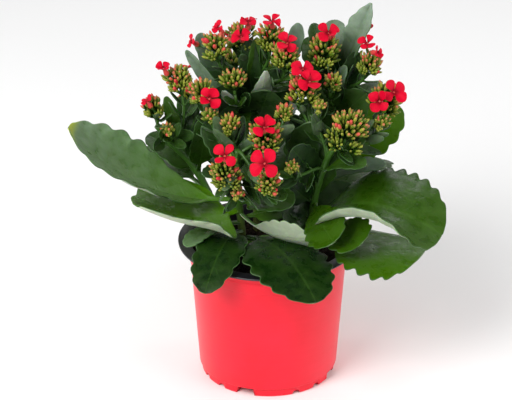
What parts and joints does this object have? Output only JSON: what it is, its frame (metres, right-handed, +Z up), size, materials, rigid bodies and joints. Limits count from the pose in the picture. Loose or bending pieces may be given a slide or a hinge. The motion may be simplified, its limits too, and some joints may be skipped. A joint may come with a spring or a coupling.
{
  "type": "potted kalanchoe",
  "caption": "Bushy kalanchoe in a thin tapered nursery pot: broad scalloped fleshy leaves below and domed heads of buds and small four-petalled blooms above.",
  "frame": {"origin": "centre of the flat middle of the pot's underside, level with its feet, where it rests", "axes": "+Z up along the pot's axis; -Y is the side with the broad leaf that hangs in front; +X is to the right of a viewer at that side"},
  "size_m": [0.2455, 0.1948, 0.2464],
  "materials": {
    "pot": "satin red outside, black inside and on the lip",
    "potting_mix": "damp dark peat, crumbly and matt",
    "leaf": "fleshy leaf with a waxy sheen, paler beneath",
    "buds": "yellow-green closed buds with orange and pink tips",
    "petals": "velvety matt red petals"
  },
  "bodies": {
    "root": {"pot": "pot", "soil": "potting_mix", "shoot_front_left": "leaf", "shoot_right": "leaf", "shoot_back_right": "leaf", "shoot_back": "leaf", "shoot_left": "leaf", "head_left_low": "buds", "head_left_side": "buds", "head_left": "buds", "head_left_back": "buds", "head_top_left": "buds", "head_top": "buds", "head_back": "buds", "head_back_low": "buds", "head_top_middle": "buds", "head_top_centre": "buds", "head_middle_left": "buds", "head_top_right": "buds", "head_right_high": "buds", "head_back_right": "buds", "head_right_side": "buds", "head_right_inner": "buds", "head_centre_right": "buds", "head_right": "buds", "head_right_low": "buds", "head_inner_right": "buds", "head_front_right": "buds", "head_centre_back": "buds", "head_centre": "buds", "head_front": "buds", "head_front_left": "buds", "head_front_low": "buds", "head_left_middle": "buds", "head_left_lower": "buds", "head_left_inner": "buds", "bloom_left_low": "petals", "bloom_left": "petals", "bloom_far_left": "petals", "bloom_top_end": "petals", "bloom_top_left": "petals", "bloom_top": "petals", "bloom_top_middle": "petals", "bloom_top_front": "petals", "bloom_top_right": "petals", "bloom_right_high": "petals", "bloom_right_end": "petals", "bloom_centre_high": "petals", "bloom_centre_right": "petals", "bloom_right": "petals", "bloom_right_inner": "petals", "bloom_left_middle": "petals", "bloom_centre": "petals", "bloom_front_left": "petals", "bloom_front": "petals", "bloom_back": "petals", "bloom_back_low": "petals", "bloom_back_right": "petals", "bloom_left_back": "petals"}
  },
  "joints": []
}
